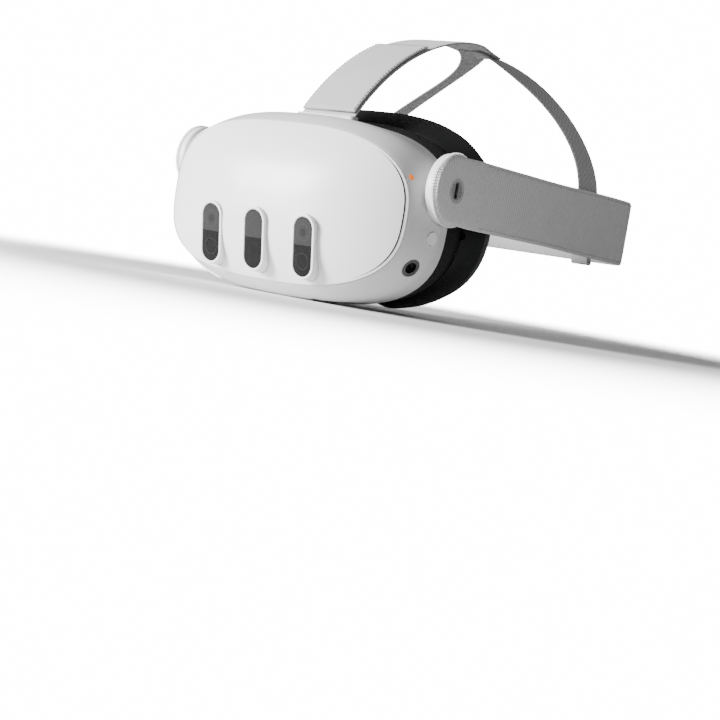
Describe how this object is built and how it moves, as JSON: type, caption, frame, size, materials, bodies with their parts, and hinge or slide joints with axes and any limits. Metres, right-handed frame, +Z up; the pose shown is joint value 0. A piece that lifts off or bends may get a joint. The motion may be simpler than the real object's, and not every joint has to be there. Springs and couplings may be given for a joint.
{
  "type": "vr headset",
  "caption": "Head-worn display visor with three pill-shaped sensor windows, hinged strap arms, crown strap, movable lenses and a sliding facial interface.",
  "frame": {"origin": "on the floor under the middle of the headset's bounding box, where the visor's underside rests", "axes": "+Z up, -Y the way the wearer looks, +X the wearer's left"},
  "size_m": [0.1858, 0.2636, 0.165],
  "materials": {
    "white_shell": "satin white moulded plastic",
    "window_glass": "dark tinted gloss window",
    "black_shell": "matte black plastic, fine texture",
    "grey_trim": "satin grey plastic",
    "lens_tube": "black satin plastic",
    "lens_glass": "coated clear lens",
    "camera": "gloss black",
    "circuit_board": "solder-masked board",
    "display": "gloss black panel",
    "battery_wrap": "heat-shrink wrap",
    "bare_alloy": "cast and brushed alloy",
    "steel": "turned steel",
    "speaker_mesh": "black cone and frame",
    "foam": "black knit over foam",
    "soft_rubber": "thin black silicone",
    "strap_fabric": "mid grey ribbed woven strap",
    "crown_fabric": "pale grey woven webbing"
  },
  "bodies": {
    "visor": {"faceplate": "white_shell", "front_housing": "white_shell", "pill_bezels": "white_shell", "pill_windows": "window_glass", "tracking_cameras": "camera", "depth_projector": "camera", "side_camera_left": "camera", "side_camera_right": "camera", "status_light": "white_shell", "main_board": "circuit_board", "heat_spreader": "bare_alloy", "battery_pack": "battery_wrap", "fan_housing": "black_shell", "microphones": "camera", "mid_frame": "bare_alloy", "lens_bezel": "black_shell", "proximity_sensor": "camera", "bezel_screws": "steel", "lens_rails": "steel", "gear_bracket": "black_shell", "rear_shell": "black_shell", "pivot_pins": "steel", "crown_strap_front": "crown_fabric", "crown_strap_fold": "crown_fabric", "crown_anchor": "grey_trim"},
    "power_button": {"power_button": "white_shell"},
    "volume_rocker": {"volume_rocker": "white_shell"},
    "fan_rotor": {"fan_rotor": "black_shell"},
    "ipd_wheel": {"ipd_wheel": "black_shell"},
    "centre_pinion": {"centre_pinion": "black_shell"},
    "lens_left": {"lens_barrel_left": "lens_tube", "lens_left": "lens_glass", "display_panel_left": "display", "lens_rack_left": "black_shell"},
    "lens_right": {"lens_barrel_right": "lens_tube", "lens_right": "lens_glass", "display_panel_right": "display", "lens_rack_right": "black_shell"},
    "interface": {"interface_frame": "black_shell", "face_cushion": "foam", "nose_flap": "soft_rubber"},
    "depth_button_left": {"depth_button_left": "black_shell"},
    "depth_button_right": {"depth_button_right": "black_shell"},
    "strap": {"arm_disc_left": "white_shell", "arm_disc_right": "white_shell", "arm_core_left": "black_shell", "arm_core_right": "black_shell", "speakers": "speaker_mesh", "port_rings": "grey_trim", "usb_c_port": "steel", "audio_jack": "steel", "side_strap_left": "strap_fabric", "side_strap_right": "strap_fabric", "rear_band": "strap_fabric", "crown_strap_rear": "crown_fabric", "strap_branch_left": "crown_fabric", "strap_branch_right": "crown_fabric"},
    "slider_left": {"slider_left": "grey_trim"},
    "slider_right": {"slider_right": "grey_trim"}
  },
  "joints": [
    {"name": "strap_tilt", "type": "hinge", "parent": "visor", "child": "strap", "pos_m": [0, -0.08505, 0.0685], "axis": [1, 0, 0], "range_deg": [-10, 10]},
    {"name": "slider_left_slide", "type": "slide", "parent": "strap", "child": "slider_left", "axis": [1, 0, 0], "range_m": [-0.03, 0]},
    {"name": "slider_right_slide", "type": "slide", "parent": "strap", "child": "slider_right", "axis": [-1, 0, 0], "range_m": [-0.03, 0]},
    {"name": "lens_left_slide", "type": "slide", "parent": "visor", "child": "lens_left", "axis": [1, 0, 0], "range_m": [-0.0055, 0.0055]},
    {"name": "lens_right_slide", "type": "slide", "parent": "visor", "child": "lens_right", "axis": [1, 0, 0], "range_m": [-0.0055, 0.0055]},
    {"name": "ipd_wheel_turn", "type": "hinge", "parent": "visor", "child": "ipd_wheel", "pos_m": [0.0304, -0.09505, 0.0103], "axis": [0, 1, 0], "range_deg": [-87, 87]},
    {"name": "centre_pinion_turn", "type": "hinge", "parent": "visor", "child": "centre_pinion", "pos_m": [0, -0.09105, 0.0103], "axis": [0, 1, 0], "range_deg": [-87.5, 87.5]},
    {"name": "fan_spin", "type": "hinge", "parent": "visor", "child": "fan_rotor", "pos_m": [0, -0.10505, 0.0765], "axis": [0, 1, 0], "continuous": true},
    {"name": "interface_depth", "type": "slide", "parent": "visor", "child": "interface", "axis": [0, 1, 0], "range_m": [0, 0.012]},
    {"name": "depth_button_left_press", "type": "slide", "parent": "interface", "child": "depth_button_left", "axis": [1, 0, 0], "range_m": [0, 0.0008], "stiffness_N_per_m": 800},
    {"name": "depth_button_right_press", "type": "slide", "parent": "interface", "child": "depth_button_right", "axis": [-1, 0, 0], "range_m": [0, 0.0008], "stiffness_N_per_m": 800},
    {"name": "power_button_press", "type": "slide", "parent": "visor", "child": "power_button", "axis": [-1, 0, 0], "range_m": [0, 0.0006], "stiffness_N_per_m": 1500},
    {"name": "volume_rock", "type": "hinge", "parent": "visor", "child": "volume_rocker", "pos_m": [-0.056, -0.09905, 0.0089], "axis": [0, 1, 0], "range_deg": [-2, 2], "stiffness_Nm_per_rad": 0.3}
  ],
  "couplings": [
    {"joint": "ipd_wheel_turn", "follows": "lens_left_slide", "rad_per_m": 275.58},
    {"joint": "lens_right_slide", "follows": "lens_left_slide", "ratio": -1},
    {"joint": "centre_pinion_turn", "follows": "lens_left_slide", "rad_per_m": 275.58}
  ]
}
